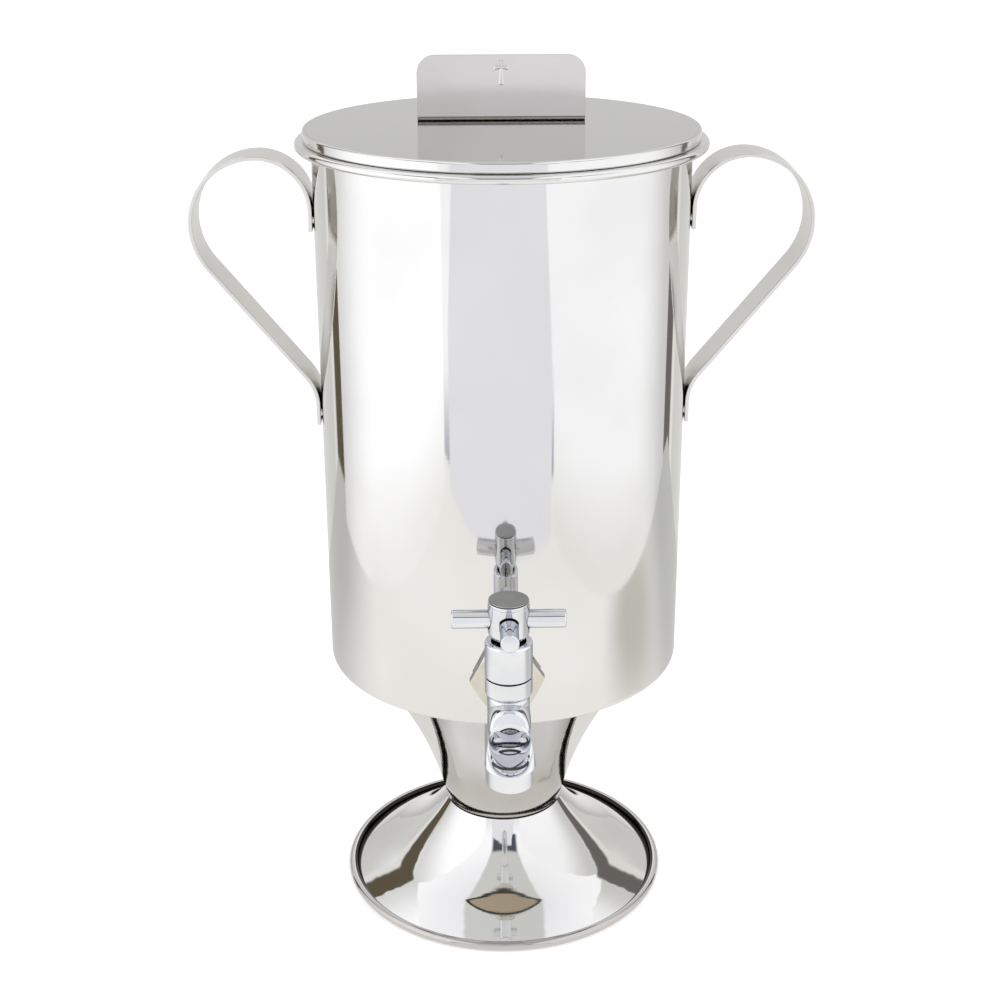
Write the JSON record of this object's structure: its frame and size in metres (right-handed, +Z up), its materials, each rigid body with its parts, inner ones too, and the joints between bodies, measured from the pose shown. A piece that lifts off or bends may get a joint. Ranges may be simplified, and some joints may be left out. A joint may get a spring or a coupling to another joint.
{
  "type": "holy water receptacle",
  "caption": "Polished steel holy water tank on a flared pedestal, with lift-off lid, upright plate, strap handles and a cross-handle tap to fill bottles.",
  "frame": {"origin": "on the tank's axis, in the plane that the foot stands on", "axes": "+Z up along the tank's axis, -Y towards the tap, +X to the right seen from the tap's side"},
  "size_m": [0.3092, 0.2744, 0.4539],
  "materials": {
    "polished_steel": "mirror polished",
    "chrome": "bright plated",
    "brass": "machined",
    "rubber": "matt",
    "ceramic": "lapped",
    "white_plastic": "moulded"
  },
  "bodies": {
    "vessel": {"tank_shell": "polished_steel", "pedestal_neck": "polished_steel", "pedestal_foot": "polished_steel", "handle_right": "polished_steel", "handle_left": "polished_steel", "handle_rivets": "polished_steel", "tap_body": "chrome", "tap_locknut": "chrome", "bonnet": "chrome", "nozzle_ring": "chrome", "outer_gasket": "rubber", "inner_gasket": "rubber", "seat_gasket": "rubber", "nozzle_washer": "rubber", "inner_washer": "polished_steel", "inner_backnut": "brass", "cartridge_body": "brass", "fixed_disc": "ceramic", "aerator_insert": "white_plastic"},
    "lid": {"lid_cap": "polished_steel", "lid_locating_ring": "polished_steel", "lid_plate": "polished_steel", "lid_plate_rivets": "polished_steel"},
    "tap_handle": {"spindle": "brass", "moving_disc": "ceramic", "spindle_seals": "rubber", "spindle_circlip": "polished_steel", "cross_hub": "chrome", "spoke_front": "chrome", "spoke_right": "chrome", "spoke_back": "chrome", "spoke_left": "chrome", "hub_screw": "polished_steel", "hub_cap": "chrome"}
  },
  "joints": [
    {"name": "lid_lift", "type": "slide", "parent": "vessel", "child": "lid", "axis": [0, 0, 1], "range_m": [0, 0.15]},
    {"name": "tap_turn", "type": "hinge", "parent": "vessel", "child": "tap_handle", "pos_m": [0, -0.134, 0.215], "axis": [0, 0, 1], "range_deg": [0, 90]}
  ]
}
